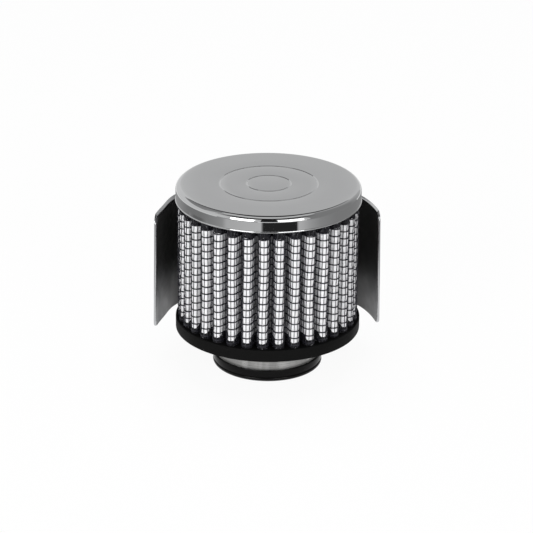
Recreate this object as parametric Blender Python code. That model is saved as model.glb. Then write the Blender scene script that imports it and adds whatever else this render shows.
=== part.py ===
"""Crankcase breather filter with a curved shield.

A pleated filter pack stands between a moulded base ring and a chromed cap.
A steel neck carries it, ends in a rubber grommet and traps the shield's ring plate.
Metres, +Z up. The origin is on the filter's axis, at the grommet's flat foot.
The filter is seen from the front, -Y, and the shield stands behind it, at +Y.
"""

import math

import bmesh
import bpy

MM = 0.001

# Clearance between neighbouring pieces
FIT_GAP = 0.3 * MM

# Pleated pack: the radius over its outer wires, and how the pleats are folded
PACK_RADIUS = 36.9 * MM
PLEAT_COUNT = 34
PLEAT_DEPTH = 6.95 * MM
PLEAT_WALL = 1.25 * MM
CREST_SHARE = 0.47
INNER_FOLD_SHARE = 0.4
FRONT_CREST_ANGLE = math.radians(-3.0)

# Two wire screens: hoops of wire that follow the pleats, joined by an upright seam strip
WIRE = 0.45 * MM
OUTER_HOOPS = 14
INNER_HOOPS = 3
HOOP_END_SHARE = 0.7
SEAM_WIDTH = 1.8 * MM
SEAM_SHEET = 0.5 * MM

# Moulded ends: the black urethane climbs a little way up the pleats at both ends
POTTED_TOP_LENGTH = 3.3 * MM
POTTED_FOOT_LENGTH = 1.8 * MM
POTTING_COVER = 0.1 * MM
BASE_COVER = 1.1 * MM
BASE_HEIGHT = 5.1 * MM
BASE_EDGE_RADIUS = 0.7 * MM
HUB_WIDTH = 6.5 * MM
HUB_HEIGHT = 1.0 * MM
BODY_HEIGHT = 62.7 * MM

# Cap: drawn sheet with two plain pressed rings
CAP_SHEET = 0.8 * MM
CAP_SKIRT = 6.7 * MM
CAP_FILLET = 2.2 * MM
CAP_RING_RADII = (9.0 * MM, 20.0 * MM)
CAP_RING_WIDTH = 0.8 * MM
CAP_RING_DEPTH = 0.3 * MM

# Neck: a tube with a formed bead, whose flange reaches out to the pleats' core
NECK_FLANGE_WIDTH = 4.9 * MM
NECK_WALL = 1.0 * MM
NECK_EXPOSED = 10.9 * MM
NECK_BEAD_RADIUS = 1.0 * MM

# Grommet: rubber, slotted for the end of the neck. Its foot's round starts at an angle in degrees
GROMMET_HEIGHT = 5.4 * MM
GROMMET_LINER = 4.2 * MM
GROMMET_LIP = 0.8 * MM
GROMMET_FLOOR = 1.7 * MM
GROMMET_FOOT_ROUND = 1.5 * MM
GROMMET_FOOT_START = 15
GROMMET_GROOVE_HEIGHT = 2.3 * MM
GROMMET_GROOVE = 0.35 * MM

# Shield: one bent sheet, with a tongue at its foot that ends in a ring plate.
# Its wings start at an angle from straight behind, and lie a little inside the round wall
SHIELD_SHEET = 1.2 * MM
SHIELD_HEIGHT = 50.3 * MM
SHIELD_STANDOFF = 7.8 * MM
SHIELD_SET_BACK = 1.0 * MM
SHIELD_SIDE_SHIFT = -0.05 * MM
SHIELD_FLARE = 0.6 * MM
SHIELD_LEFT_ANGLE = math.radians(89.5)
SHIELD_RIGHT_ANGLE = math.radians(82.8)
SHIELD_WING_START = math.radians(56)
SHIELD_WING_SPAN = math.radians(36)
SHIELD_LEFT_HOLLOW = 1.2 * MM
SHIELD_RIGHT_HOLLOW = 0.3 * MM
SHIELD_CORNER_RADIUS = 3.5 * MM
SHIELD_PLATE_WIDTH = 7.0 * MM
SHIELD_TONGUE_WIDTH = 26.0 * MM
SHIELD_TONGUE_RISE = 0.3 * MM

# Fineness of the round pieces
CAP_SEGMENTS = 60
ROUND_SEGMENTS = 48
ARC_STEPS = 3
SHARP_ANGLE = math.radians(32)

# Radii that follow from the sizes above
POTTING_RADIUS = PACK_RADIUS + POTTING_COVER
CAP_INNER_RADIUS = POTTING_RADIUS + FIT_GAP
CAP_RADIUS = CAP_INNER_RADIUS + CAP_SHEET
BASE_RADIUS = PACK_RADIUS + BASE_COVER
MEDIA_RADIUS = PACK_RADIUS - WIRE - FIT_GAP
MEDIA_VALLEY_RADIUS = MEDIA_RADIUS - PLEAT_DEPTH
MEDIA_INNER_RADIUS = MEDIA_VALLEY_RADIUS - PLEAT_WALL
CORE_RADIUS = MEDIA_INNER_RADIUS - FIT_GAP - WIRE - SEAM_SHEET
NECK_RADIUS = CORE_RADIUS - FIT_GAP - NECK_FLANGE_WIDTH
NECK_SEAT_RADIUS = NECK_RADIUS + FIT_GAP
GROMMET_SLOT_RADIUS = NECK_RADIUS - NECK_WALL - FIT_GAP
GROMMET_BORE_RADIUS = GROMMET_SLOT_RADIUS - GROMMET_LINER
SHIELD_INNER_RADIUS = CAP_RADIUS + SHIELD_STANDOFF

# Heights that follow from the sizes above
NECK_FOOT_Z = GROMMET_FLOOR + FIT_GAP
BASE_UNDERSIDE_Z = GROMMET_HEIGHT + NECK_EXPOSED
BASE_TOP_Z = BASE_UNDERSIDE_Z + BASE_HEIGHT
MEDIA_FOOT_Z = BASE_TOP_Z + POTTED_FOOT_LENGTH + FIT_GAP
CAP_TOP_Z = BASE_UNDERSIDE_Z + BODY_HEIGHT
CAP_SKIRT_Z = CAP_TOP_Z - CAP_SKIRT
POTTING_TOP_Z = CAP_TOP_Z - CAP_SHEET - FIT_GAP
POTTED_END_Z = CAP_SKIRT_Z - POTTED_TOP_LENGTH
MEDIA_TOP_Z = POTTED_END_Z - FIT_GAP
PLATE_TOP_Z = BASE_UNDERSIDE_Z - HUB_HEIGHT - FIT_GAP
PLATE_FOOT_Z = PLATE_TOP_Z - SHIELD_SHEET
SHIELD_FOOT_Z = PLATE_FOOT_Z - SHIELD_TONGUE_RISE
SHIELD_TOP_Z = SHIELD_FOOT_Z + SHIELD_HEIGHT
NECK_BEAD_Z = PLATE_FOOT_Z - FIT_GAP - NECK_BEAD_RADIUS

PLEAT_ANGLE = math.tau / PLEAT_COUNT


def clear_scene():
    """Remove every object that the open scene holds."""
    for old in list(bpy.data.objects):
        bpy.data.objects.remove(old, do_unlink=True)


def material(name, colour, roughness, metallic=0.0):
    """A Principled material in one colour."""
    made = bpy.data.materials.new(name)
    made.use_nodes = True
    shader = made.node_tree.nodes["Principled BSDF"]
    shader.inputs["Base Color"].default_value = (*colour, 1.0)
    shader.inputs["Roughness"].default_value = roughness
    shader.inputs["Metallic"].default_value = metallic
    return made


def new_object(name, bm, finish=None):
    """Turn a bmesh into a named object whose round faces are shaded smooth."""
    bmesh.ops.recalc_face_normals(bm, faces=bm.faces)
    mesh = bpy.data.meshes.new(name)
    bm.to_mesh(mesh)
    bm.free()
    mesh.shade_smooth()
    mesh.set_sharp_from_angle(angle=SHARP_ANGLE)
    made = bpy.data.objects.new(name, mesh)
    bpy.context.collection.objects.link(made)
    if finish:
        mesh.materials.append(finish)
    return made


def join(target, tool):
    """Join a hidden tool object to the target with a Boolean union."""
    tool.hide_render = True
    tool.display_type = "WIRE"
    step = target.modifiers.new(tool.name, "BOOLEAN")
    step.operation = "UNION"
    step.solver = "EXACT"
    step.object = tool


def arc(centre_r, centre_z, radius, start, end, steps=ARC_STEPS):
    """Points of an arc in a turned profile. Angles are in degrees, 0 outwards and 90 up."""
    turn = [math.radians(start + (end - start) * i / steps) for i in range(steps + 1)]
    return [(centre_r + radius * math.cos(a), centre_z + radius * math.sin(a)) for a in turn]


def turned(name, profile, segments, finish=None):
    """Spin a profile of (radius, height) points about the filter's axis.

    A profile that starts and ends on the axis makes a disc, any other one a ring.
    """
    bm = bmesh.new()
    points = [bm.verts.new((r, 0.0, z)) for r, z in profile]
    pairs = list(zip(points, points[1:]))
    if profile[0][0] > 0.0:
        pairs.append((points[-1], points[0]))
    edges = [bm.edges.new(pair) for pair in pairs]
    bmesh.ops.spin(
        bm, geom=points + edges, axis=(0, 0, 1), cent=(0, 0, 0),
        angle=math.tau, steps=segments, use_merge=True,
    )
    bmesh.ops.remove_doubles(bm, verts=bm.verts, dist=0.001 * MM)
    return new_object(name, bm, finish)


def polar(radius, angle):
    """A plan point at an angle measured from the front, -Y, towards +X."""
    return (radius * math.sin(angle), -radius * math.cos(angle))


def outer_pleats():
    """Plan outline of the pleats' outer side: two points on each crest, one in each valley."""
    points = []
    half_crest = PLEAT_ANGLE * CREST_SHARE / 2
    for i in range(PLEAT_COUNT):
        crest = FRONT_CREST_ANGLE + i * PLEAT_ANGLE
        points.append(polar(MEDIA_RADIUS, crest - half_crest))
        points.append(polar(MEDIA_RADIUS, crest + half_crest))
        points.append(polar(MEDIA_VALLEY_RADIUS, crest + PLEAT_ANGLE / 2))
    return points


def inner_pleats():
    """Plan outline of the pleats' inner side: one point in each crest, two on each fold."""
    points = []
    half_fold = PLEAT_ANGLE * INNER_FOLD_SHARE / 2
    for i in range(PLEAT_COUNT):
        crest = FRONT_CREST_ANGLE + i * PLEAT_ANGLE
        fold = crest + PLEAT_ANGLE / 2
        points.append(polar(MEDIA_RADIUS - PLEAT_WALL, crest))
        points.append(polar(MEDIA_INNER_RADIUS, fold - half_fold))
        points.append(polar(MEDIA_INNER_RADIUS, fold + half_fold))
    return points


def offset(outline, distance):
    """Move each side of a closed plan outline outwards, or inwards by a negative distance."""
    moved = []
    for i, (x, y) in enumerate(outline):
        before = outline[i - 1]
        after = outline[(i + 1) % len(outline)]
        ux, uy = x - before[0], y - before[1]
        vx, vy = after[0] - x, after[1] - y
        ul, vl = math.hypot(ux, uy), math.hypot(vx, vy)
        ax, ay = uy / ul, -ux / ul
        bx, by = vy / vl, -vx / vl
        reach = distance / (1.0 + ax * bx + ay * by)
        moved.append((x + (ax + bx) * reach, y + (ay + by) * reach))
    return moved


def turn_of(a, b, c):
    """Twice the signed area of a plan triangle."""
    return (b[0] - a[0]) * (c[1] - a[1]) - (b[1] - a[1]) * (c[0] - a[0])


def split(a, b, c, d):
    """Cut a four-sided plan face along the diagonal that stays inside it."""
    first = turn_of(a.co, b.co, c.co)
    second = turn_of(a.co, c.co, d.co)
    if first * second > 0:
        return ((a, b, c), (a, c, d))
    return ((b, c, d), (b, d, a))


def pleated_prism(name, outer, inner, low, high, finish=None):
    """A standing wall between two plan outlines that have as many points each."""
    bm = bmesh.new()
    count = len(outer)
    rings = [
        [bm.verts.new((x, y, z)) for x, y in outline]
        for outline, z in ((outer, low), (outer, high), (inner, low), (inner, high))
    ]
    out_low, out_high, in_low, in_high = rings
    for i in range(count):
        j = (i + 1) % count
        bm.faces.new((out_low[i], out_low[j], out_high[j], out_high[i]))
        bm.faces.new((in_low[j], in_low[i], in_high[i], in_high[j]))
        for three in split(out_high[i], out_high[j], in_high[j], in_high[i]):
            bm.faces.new(three)
        for three in split(out_low[i], in_low[i], in_low[j], out_low[j]):
            bm.faces.new(three)
    return new_object(name, bm, finish)


def add_hoop(bm, near, far, height):
    """One hoop of wire: two edges on the outline near the pleats, one on the far outline."""
    count = len(near)
    half = WIRE / 2
    low = [bm.verts.new((x, y, height - half)) for x, y in near]
    high = [bm.verts.new((x, y, height + half)) for x, y in near]
    ridge = [bm.verts.new((x, y, height)) for x, y in far]
    for i in range(count):
        j = (i + 1) % count
        bm.faces.new((low[i], low[j], high[j], high[i]))
        bm.faces.new((high[i], high[j], ridge[j], ridge[i]))
        bm.faces.new((ridge[i], ridge[j], low[j], low[i]))


def seam_strip(name, angle, near_radius, far_radius):
    """A flat upright strip at a plan angle, between two distances from the axis."""
    along = (math.sin(angle), -math.cos(angle))
    across = (math.cos(angle), math.sin(angle))
    half = SEAM_WIDTH / 2
    bm = bmesh.new()
    corners = ((near_radius, -half), (near_radius, half), (far_radius, half), (far_radius, -half))
    plan = [(along[0] * r + across[0] * t, along[1] * r + across[1] * t) for r, t in corners]
    low = [bm.verts.new((x, y, MEDIA_FOOT_Z)) for x, y in plan]
    high = [bm.verts.new((x, y, MEDIA_TOP_Z)) for x, y in plan]
    bm.faces.new(low)
    bm.faces.new(high)
    for i in range(4):
        j = (i + 1) % 4
        bm.faces.new((low[i], low[j], high[j], high[i]))
    return new_object(name, bm)


def hoop_heights(count):
    """Heights of evenly spaced hoops. The top one is a full step below the pleats' upper end."""
    step = (MEDIA_TOP_Z - MEDIA_FOOT_Z) / (count + HOOP_END_SHARE)
    return [MEDIA_TOP_Z - step * (i + 1) for i in range(count)]


def outer_wire_outlines():
    """The plan outlines of the outer hoops: their side near the pleats, and their ridge."""
    pleats = outer_pleats()
    return offset(pleats, FIT_GAP), offset(pleats, FIT_GAP + WIRE)


def inner_wire_outlines():
    """The plan outlines of the inner hoops: their side near the pleats, and their ridge."""
    pleats = inner_pleats()
    return offset(pleats, -FIT_GAP), offset(pleats, -FIT_GAP - WIRE)


def make_media(finish):
    """The folded white filter media."""
    pleated_prism(
        "filter_media", outer_pleats(), inner_pleats(), MEDIA_FOOT_Z, MEDIA_TOP_Z, finish
    )


def make_screen(name, outlines, count, seam_angle, seam_near, seam_far, finish):
    """A wire screen that is folded with the media: hoops of wire, joined by a seam strip."""
    bm = bmesh.new()
    for height in hoop_heights(count):
        add_hoop(bm, *outlines, height)
    hoops = new_object(name, bm, finish)
    join(hoops, seam_strip(name + "_seam", seam_angle, seam_near, seam_far))


def make_screens(outer_finish, inner_finish):
    """The screens on the media's two sides, each with its seam at the back."""
    back_crest = FRONT_CREST_ANGLE + (PLEAT_COUNT // 2) * PLEAT_ANGLE
    middle = (MEDIA_RADIUS + FIT_GAP) * math.cos(PLEAT_ANGLE * CREST_SHARE / 2) + WIRE / 2
    make_screen(
        "outer_screen", outer_wire_outlines(), OUTER_HOOPS,
        back_crest, middle, middle + SEAM_SHEET, outer_finish,
    )
    back_fold = back_crest + PLEAT_ANGLE / 2
    middle = (MEDIA_INNER_RADIUS - FIT_GAP) * math.cos(PLEAT_ANGLE * INNER_FOLD_SHARE / 2) - WIRE / 2
    make_screen(
        "inner_screen", inner_wire_outlines(), INNER_HOOPS,
        back_fold, middle, middle - SEAM_SHEET, inner_finish,
    )


def make_potting(finish):
    """Urethane disc in the cap, which holds and seals the pleats' upper ends."""
    disc = turned(
        "top_potting",
        [(0.0, POTTING_TOP_Z)]
        + arc(
            POTTING_RADIUS - CAP_FILLET, POTTING_TOP_Z - CAP_FILLET, CAP_FILLET, 90, 0, ARC_STEPS // 2
        )
        + [(POTTING_RADIUS, CAP_SKIRT_Z), (0.0, CAP_SKIRT_Z)],
        ROUND_SEGMENTS,
        finish,
    )
    outer = outer_wire_outlines()[1]
    inner = inner_wire_outlines()[1]
    ends = pleated_prism("potted_top_ends", outer, inner, POTTED_END_Z, CAP_SKIRT_Z + BASE_EDGE_RADIUS)
    join(disc, ends)


def make_base(finish):
    """Moulded base ring, with the potted pleat ends above it and a low hub under it."""
    edge = BASE_EDGE_RADIUS
    hub_z = BASE_UNDERSIDE_Z - HUB_HEIGHT
    ring = turned(
        "base_ring",
        [(NECK_SEAT_RADIUS, BASE_TOP_Z)]
        + arc(BASE_RADIUS - edge, BASE_TOP_Z - edge, edge, 90, 0, ARC_STEPS // 2)
        + arc(BASE_RADIUS - edge, BASE_UNDERSIDE_Z + edge, edge, 0, -90, ARC_STEPS // 2)
        + [
            (NECK_SEAT_RADIUS + HUB_WIDTH, BASE_UNDERSIDE_Z),
            (NECK_SEAT_RADIUS + HUB_WIDTH, hub_z),
            (NECK_SEAT_RADIUS, hub_z),
        ],
        CAP_SEGMENTS,
        finish,
    )
    outer = outer_wire_outlines()[1]
    inner = inner_wire_outlines()[1]
    ends = pleated_prism(
        "potted_foot_ends", outer, inner, BASE_TOP_Z - BASE_EDGE_RADIUS, MEDIA_FOOT_Z - FIT_GAP
    )
    join(ring, ends)


def make_cap(finish):
    """Chromed cap, drawn from sheet, with a filleted edge and plain pressed rings on top."""
    half_width = CAP_RING_WIDTH / 2
    profile = [(0.0, CAP_TOP_Z)]
    for radius in CAP_RING_RADII:
        profile.append((radius - half_width, CAP_TOP_Z))
        profile.append((radius, CAP_TOP_Z - CAP_RING_DEPTH))
        profile.append((radius + half_width, CAP_TOP_Z))
    profile += arc(CAP_RADIUS - CAP_FILLET, CAP_TOP_Z - CAP_FILLET, CAP_FILLET, 90, 0)
    lip = CAP_SHEET / 2
    profile += arc(CAP_RADIUS - lip, CAP_SKIRT_Z + lip, lip, 0, -180)
    inside = max(CAP_FILLET - CAP_SHEET, FIT_GAP)
    inside_z = CAP_TOP_Z - CAP_SHEET - inside
    profile += arc(CAP_INNER_RADIUS - inside, inside_z, inside, 0, 90, ARC_STEPS // 2)
    profile.append((0.0, CAP_TOP_Z - CAP_SHEET))
    turned("top_cap", profile, CAP_SEGMENTS, finish)


def make_neck(finish):
    """Steel neck: a flange on the base ring, a straight tube, and a bead under the plate."""
    inner = NECK_RADIUS - NECK_WALL
    flange_z = BASE_TOP_Z + FIT_GAP
    flange_radius = NECK_RADIUS + NECK_FLANGE_WIDTH
    bead = NECK_BEAD_RADIUS
    hollow = max(bead - NECK_WALL / 2, FIT_GAP)
    profile = [
        (inner, flange_z + NECK_WALL),
        (flange_radius, flange_z + NECK_WALL),
        (flange_radius, flange_z),
        (NECK_RADIUS, flange_z),
    ]
    profile += arc(NECK_RADIUS, NECK_BEAD_Z, bead, 90, -90)
    profile += [(NECK_RADIUS, NECK_FOOT_Z), (inner, NECK_FOOT_Z)]
    profile += arc(inner, NECK_BEAD_Z, hollow, -90, 90)
    turned("neck", profile, ROUND_SEGMENTS, finish)


def make_grommet(finish):
    """Rubber grommet: a slot in its top takes the neck, and its foot seals on the engine."""
    outer = NECK_SEAT_RADIUS + GROMMET_LIP
    foot = GROMMET_FOOT_ROUND
    groove = GROMMET_GROOVE
    profile = [
        (GROMMET_BORE_RADIUS, GROMMET_HEIGHT),
        (GROMMET_SLOT_RADIUS, GROMMET_HEIGHT),
        (GROMMET_SLOT_RADIUS, GROMMET_FLOOR),
        (NECK_SEAT_RADIUS, GROMMET_FLOOR),
        (NECK_SEAT_RADIUS, GROMMET_HEIGHT),
        (outer - groove, GROMMET_HEIGHT),
        (outer, GROMMET_HEIGHT - groove),
        (outer, GROMMET_GROOVE_HEIGHT + groove),
        (outer - groove, GROMMET_GROOVE_HEIGHT),
    ]
    profile += arc(outer - foot, foot, foot, GROMMET_FOOT_START, -90, ARC_STEPS - 1)
    profile.append((GROMMET_BORE_RADIUS, 0.0))
    turned("grommet", profile, ROUND_SEGMENTS, finish)


def shield_angles():
    """Angles of the shield's columns from straight behind, finer in its rounded corners."""
    middle = SHIELD_INNER_RADIUS
    rounded = [
        SHIELD_CORNER_RADIUS * (1 - math.cos(math.radians(90 * i / ARC_STEPS))) / middle
        for i in range(ARC_STEPS + 1)
    ]
    left = [-SHIELD_LEFT_ANGLE + a for a in rounded]
    right = [SHIELD_RIGHT_ANGLE - a for a in reversed(rounded)]
    steps = CAP_SEGMENTS // 2 - 2 * ARC_STEPS
    span = right[0] - left[-1]
    between = [left[-1] + span * i / steps for i in range(1, steps)]
    return left + between + right


def wing_hollow(angle):
    """How far the shield's wall lies inside its round shape, at an angle from straight behind."""
    along = min(max((abs(angle) - SHIELD_WING_START) / SHIELD_WING_SPAN, 0.0), 1.0)
    depth = SHIELD_LEFT_HOLLOW if angle < 0 else SHIELD_RIGHT_HOLLOW
    return depth * math.sin(math.pi * along) ** 2


def shield_plan(radius, angle):
    """A plan point at a distance from the shield's own centre, and an angle from straight behind."""
    return (SHIELD_SIDE_SHIFT + radius * math.sin(angle), SHIELD_SET_BACK + radius * math.cos(angle))


def shield_point(angle, height, inset):
    """A point of the shield's wall, which stands a little wider at its foot than at its top."""
    flare = SHIELD_FLARE * (0.5 - (height - SHIELD_FOOT_Z) / SHIELD_HEIGHT)
    radius = SHIELD_INNER_RADIUS + SHIELD_SHEET - inset + flare - wing_hollow(angle)
    return (*shield_plan(radius, angle), height)


def make_shield(finish):
    """Curved shield behind the filter, with the tongue and plate that the neck holds."""
    bm = bmesh.new()
    columns = []
    for angle in shield_angles():
        to_edge = min(angle + SHIELD_LEFT_ANGLE, SHIELD_RIGHT_ANGLE - angle) * SHIELD_INNER_RADIUS
        into_corner = max(SHIELD_CORNER_RADIUS - to_edge, 0.0)
        cut = SHIELD_CORNER_RADIUS - math.sqrt(max(SHIELD_CORNER_RADIUS ** 2 - into_corner ** 2, 0.0))
        low = SHIELD_FOOT_Z + cut
        high = SHIELD_TOP_Z - cut
        corners = ((low, 0.0), (high, 0.0), (high, SHIELD_SHEET), (low, SHIELD_SHEET))
        columns.append([bm.verts.new(shield_point(angle, z, inset)) for z, inset in corners])
    for first, second in zip(columns, columns[1:]):
        for k in range(4):
            n = (k + 1) % 4
            bm.faces.new((first[k], second[k], second[n], first[n]))
    bm.faces.new(columns[0])
    bm.faces.new(columns[-1])
    wall = new_object("shield", bm, finish)

    plate_radius = NECK_SEAT_RADIUS + SHIELD_PLATE_WIDTH
    plate = turned(
        "shield_plate",
        [
            (NECK_SEAT_RADIUS, PLATE_TOP_Z), (plate_radius, PLATE_TOP_Z),
            (plate_radius, PLATE_FOOT_Z), (NECK_SEAT_RADIUS, PLATE_FOOT_Z),
        ],
        ROUND_SEGMENTS,
    )

    bm = bmesh.new()
    half_width = SHIELD_TONGUE_WIDTH / 2
    wall_middle = SHIELD_INNER_RADIUS + SHIELD_SHEET / 2
    reach = math.asin(half_width / wall_middle)
    steps = 2 * ARC_STEPS
    edge = []
    for i in range(steps + 1):
        edge.append(shield_plan(wall_middle, reach * (2 * i / steps - 1)))
    in_plate = math.sqrt(max((NECK_SEAT_RADIUS + SHIELD_PLATE_WIDTH / 2) ** 2 - half_width ** 2, 0.0))
    outline = edge + [(edge[-1][0], in_plate), (edge[0][0], in_plate)]
    low = [bm.verts.new((x, y, PLATE_FOOT_Z)) for x, y in outline]
    high = [bm.verts.new((x, y, PLATE_TOP_Z)) for x, y in outline]
    bm.faces.new(low)
    bm.faces.new(high)
    for i in range(len(outline)):
        j = (i + 1) % len(outline)
        bm.faces.new((low[i], low[j], high[j], high[i]))
    tongue = new_object("shield_tongue", bm)

    join(tongue, plate)
    join(wall, tongue)


def main():
    """Build the filter from its foot up."""
    clear_scene()
    chrome = material("chrome", (0.62, 0.63, 0.64), 0.08, 1.0)
    shield_steel = material("shield_chrome", (0.56, 0.57, 0.58), 0.12, 1.0)
    brushed = material("brushed_steel", (0.45, 0.44, 0.43), 0.32, 1.0)
    rubber = material("black_rubber", (0.012, 0.012, 0.012), 0.45)
    base_urethane = material("base_urethane", (0.010, 0.010, 0.010), 0.55)
    cap_urethane = material("cap_urethane", (0.012, 0.012, 0.013), 0.4)
    white_media = material("white_media", (0.78, 0.78, 0.80), 0.85)
    outer_wire = material("coated_wire", (0.014, 0.014, 0.018), 0.4)
    inner_wire = material("inner_coated_wire", (0.016, 0.016, 0.02), 0.45)

    make_grommet(rubber)
    make_neck(brushed)
    make_base(base_urethane)
    make_media(white_media)
    make_screens(outer_wire, inner_wire)
    make_potting(cap_urethane)
    make_cap(chrome)
    make_shield(shield_steel)


main()
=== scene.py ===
import math

import bmesh
import bpy
import numpy as np
from bpy.props import FloatProperty, FloatVectorProperty, IntProperty, PointerProperty
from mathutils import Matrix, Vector, noise


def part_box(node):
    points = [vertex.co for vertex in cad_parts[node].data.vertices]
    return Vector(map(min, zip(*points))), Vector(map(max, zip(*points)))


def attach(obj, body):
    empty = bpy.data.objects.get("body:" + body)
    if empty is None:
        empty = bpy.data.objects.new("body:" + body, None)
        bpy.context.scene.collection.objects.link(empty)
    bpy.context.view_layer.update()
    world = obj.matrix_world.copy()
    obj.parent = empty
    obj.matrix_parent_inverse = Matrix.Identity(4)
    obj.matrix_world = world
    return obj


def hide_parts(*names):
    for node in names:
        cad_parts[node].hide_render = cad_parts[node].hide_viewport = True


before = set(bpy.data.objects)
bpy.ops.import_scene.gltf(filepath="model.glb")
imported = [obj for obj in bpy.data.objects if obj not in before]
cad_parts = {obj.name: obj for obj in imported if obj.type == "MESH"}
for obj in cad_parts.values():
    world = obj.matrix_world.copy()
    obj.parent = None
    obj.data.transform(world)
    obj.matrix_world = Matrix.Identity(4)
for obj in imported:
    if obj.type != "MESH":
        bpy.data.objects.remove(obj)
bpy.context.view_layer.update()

bl_info = {
    "name": "Breather filter looks",
    "version": (1, 0, 0),
    "blender": (4, 5, 0),
    "location": "3D View > Sidebar > Breather",
    "description": "Finished pieces of a crankcase breather filter, built round its packed solids",
    "category": "Object",
}

MM = 0.001
BODY = "root"
SHARP_ANGLE = math.radians(35)
ROUND_SEGMENTS = 192

# Features of uneven surfaces for each metre
CLOTH_NOISE = 260.0
FACE_NOISE = 700.0
EDGE_NOISE = 420.0
FINE_EDGE_NOISE = 1300.0

# How often the upright wires' drift changes round the filter, and a step that finds their direction
DRIFT_WAVES = 3
SMALL_STEP = 0.1 * MM


def length(name, millimetres, description):
    """A length property, whose default is given in millimetres."""
    return FloatProperty(
        name=name, description=description, default=millimetres * MM,
        unit="LENGTH", subtype="DISTANCE", precision=5,
    )


def turn(name, degrees, description):
    """An angle property, whose default is given in degrees."""
    return FloatProperty(
        name=name, description=description, default=math.radians(degrees), unit="ROTATION", subtype="ANGLE",
    )


def share(name, value, description):
    """A plain number between 0 and 1."""
    return FloatProperty(name=name, description=description, default=value, min=0.0, max=1.0)


def amount(name, value, description):
    """A count of copies, steps or segments."""
    return IntProperty(name=name, description=description, default=value, min=1)


def tint(name, red, green, blue, description):
    """A colour property."""
    return FloatVectorProperty(
        name=name, description=description, default=(red, green, blue),
        subtype="COLOR", size=3, min=0.0, max=1.0,
    )


class CapSizes(bpy.types.PropertyGroup):
    """Drawn cap: its sheet, edge and the two plain rings pressed in its top."""

    sheet: length("Sheet", 0.8, "Thickness of the drawn sheet")
    fillet: length("Fillet", 2.2, "Radius of the rounded top edge")
    bead: length("Bead", 0.4, "Radius of the rolled bead at the skirt's lower edge")
    bead_proud: length("Bead stands proud", 0.2, "How far the bead stands out from the skirt")
    bead_drop: length("Bead drop", 0.25, "How far the bead hangs under the packed skirt")
    dome: length("Dome", 0.14, "How far the top has sunk at the start of its rounded edge")
    dome_start: length("Dome start", 27.0, "Radius of the top's flat middle")
    inner_ring: length("Inner ring", 9.0, "Radius of the inner pressed ring")
    outer_ring: length("Outer ring", 20.0, "Radius of the outer pressed ring")
    ring_width: length("Ring width", 0.8, "Width of a pressed ring")
    ring_depth: length("Ring depth", 0.16, "Depth of a pressed ring")
    segments: amount("Segments", 240, "Sides of the turned cap")


class PleatSizes(bpy.types.PropertyGroup):
    """Folded cloth, as it stands between the two moulded ends."""

    count: amount("Pleats", 34, "Folds round the filter")
    front: turn("Front crest", -3.0, "Angle of the crest nearest to the front")
    twist: turn("Twist", 0.35, "How far the crests turn from their foot to their top")
    crest_radius: length("Crest radius", 36.5, "Distance of the crests from the axis")
    valley_radius: length("Valley corner", 28.6, "Distance of the sharp valley corner before it is rounded")
    inner_radius: length("Inner folds", 27.95, "Distance of the inner folds from the axis")
    wall: length("Wall", 1.35, "Thickness of the cloth at a crest")
    crest_share: share("Crest share", 0.45, "Part of a pleat's pitch that its crest takes")
    fold_share: share("Inner fold share", 0.4, "Part of a pleat's pitch that its inner fold takes")
    crown: length("Crown", 0.15, "How far the middle of a crest bulges")
    crest_round: length("Crest rounding", 1.5, "Radius of a crest's shoulders")
    valley_round: length("Valley rounding", 0.45, "Radius at the bottom of a valley")
    puff: length("Puff", 0.06, "How far the cloth swells between two hoops")
    unevenness: length("Unevenness", 0.06, "How far the cloth's outer side is from smooth")
    sway: length("Sway", 0.28, "How far a crest wanders sideways between its ends")
    lean: length("Lean", 0.16, "How far a crest wanders in and out between its ends")
    hidden_foot: length("Hidden foot", 1.2, "How far the cloth reaches into the base ring")
    hidden_top: length("Hidden top", 0.8, "How far the cloth reaches into the upper urethane")
    steps: amount("Points in a pleat", 32, "Points of the cloth's section in each pleat")


class ScreenSizes(bpy.types.PropertyGroup):
    """Wire screens that are folded with the cloth."""

    hoop_wire: length("Hoop wire", 0.5, "Diameter of the level wires")
    upright_wire: length("Upright wire", 0.28, "Diameter of the upright wires")
    offset: length("Offset", 0.36, "Distance of the wires' middle from the cloth")
    spacing: length("Upright spacing", 1.52, "Distance between two upright wires along the folds")
    weave: length("Weave", 0.1, "How far an upright swings round the hoops")
    slant: length("Slant", 1.1, "How far an upright drifts along the folds from end to end")
    hoops: amount("Hoops", 14, "Level wires on the open length of the outer side")
    end_share: share("End share", 0.7, "Distance under the lowest hoop, as a part of a step")
    seam_width: length("Seam width", 1.8, "Width of the upright seam strip")
    seam_sheet: length("Seam thickness", 0.5, "Thickness of the seam strip")
    seam_pinch: share("Seam pinch", 0.12, "How much narrower the seam is at a hoop")
    hidden_foot: length("Hidden foot", 1.9, "How far the outer wires reach into the base ring")
    hidden_top: length("Hidden top", 0.3, "How far the outer wires reach into the cap")


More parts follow.
